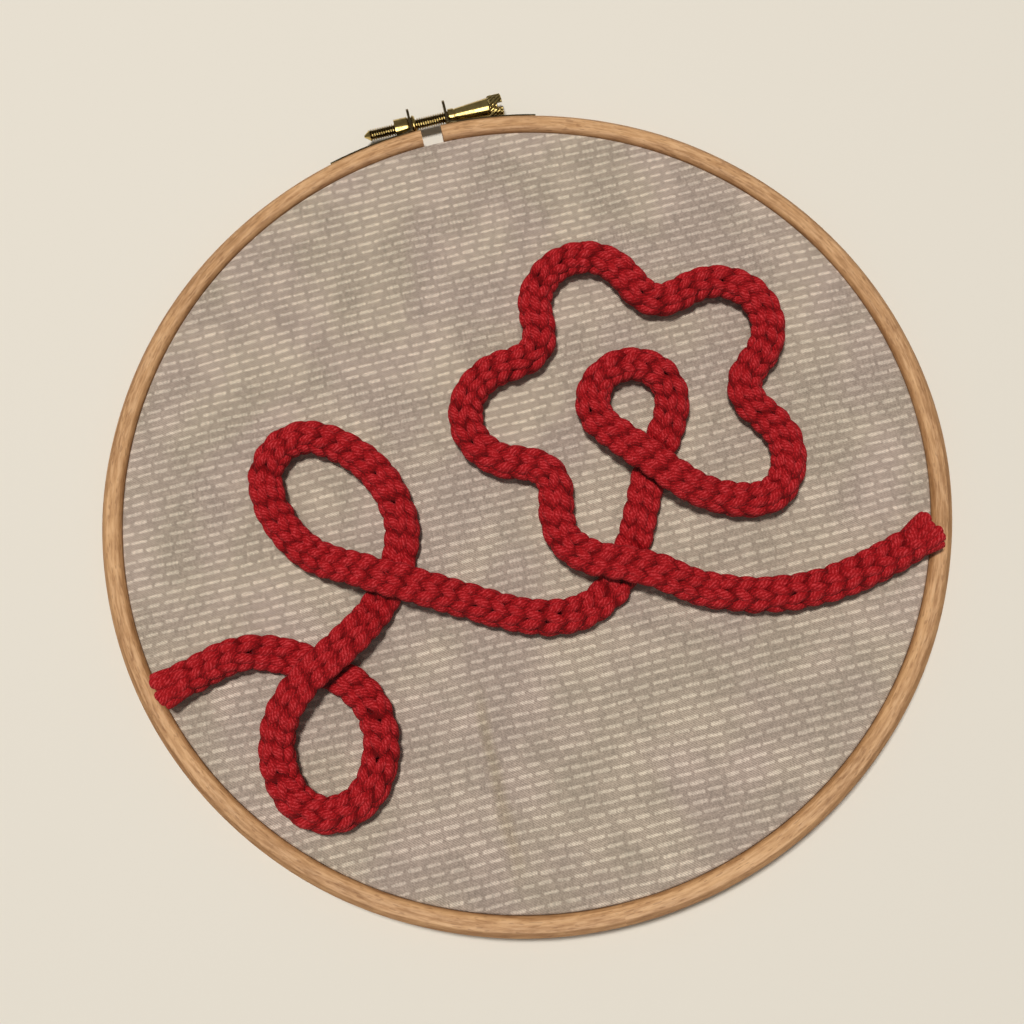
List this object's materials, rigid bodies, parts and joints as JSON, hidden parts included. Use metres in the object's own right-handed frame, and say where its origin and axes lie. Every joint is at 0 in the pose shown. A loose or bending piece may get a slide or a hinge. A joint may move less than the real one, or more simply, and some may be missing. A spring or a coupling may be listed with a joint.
{
  "type": "embroidery hoop wall art",
  "caption": "Printed cotton stretched in a round beech embroidery hoop with a brass tension screw, decorated with a flower sprig laid in thick red knitted cord.",
  "frame": {"origin": "on the surface that the hoop lies on, under the middle of the whole thing's box", "axes": "+Z out of the cloth's face, +Y to the split and the screw, X along the screw and the printed rows"},
  "size_m": [0.214, 0.2222, 0.0168],
  "materials": {
    "beech": "sanded beech with a thin clear varnish",
    "cotton": "plain woven cotton, grey-beige with off-white printed dashes",
    "yarn": "tube-knitted thick red yarn, matt and slightly fuzzy",
    "brass": "aged yellow brass, satin"
  },
  "bodies": {
    "hoop": {"outer_hoop": "beech", "inner_hoop": "beech", "cloth": "cotton", "knitted_cord": "yarn", "bracket_left": "brass", "bracket_right": "brass", "nut": "brass"},
    "screw": {"tension_screw": "brass"}
  },
  "joints": [
    {"name": "screw_turn", "type": "hinge", "parent": "hoop", "child": "screw", "pos_m": [0, 0.10675, 0.0045], "axis": [1, 0, 0], "continuous": true}
  ]
}
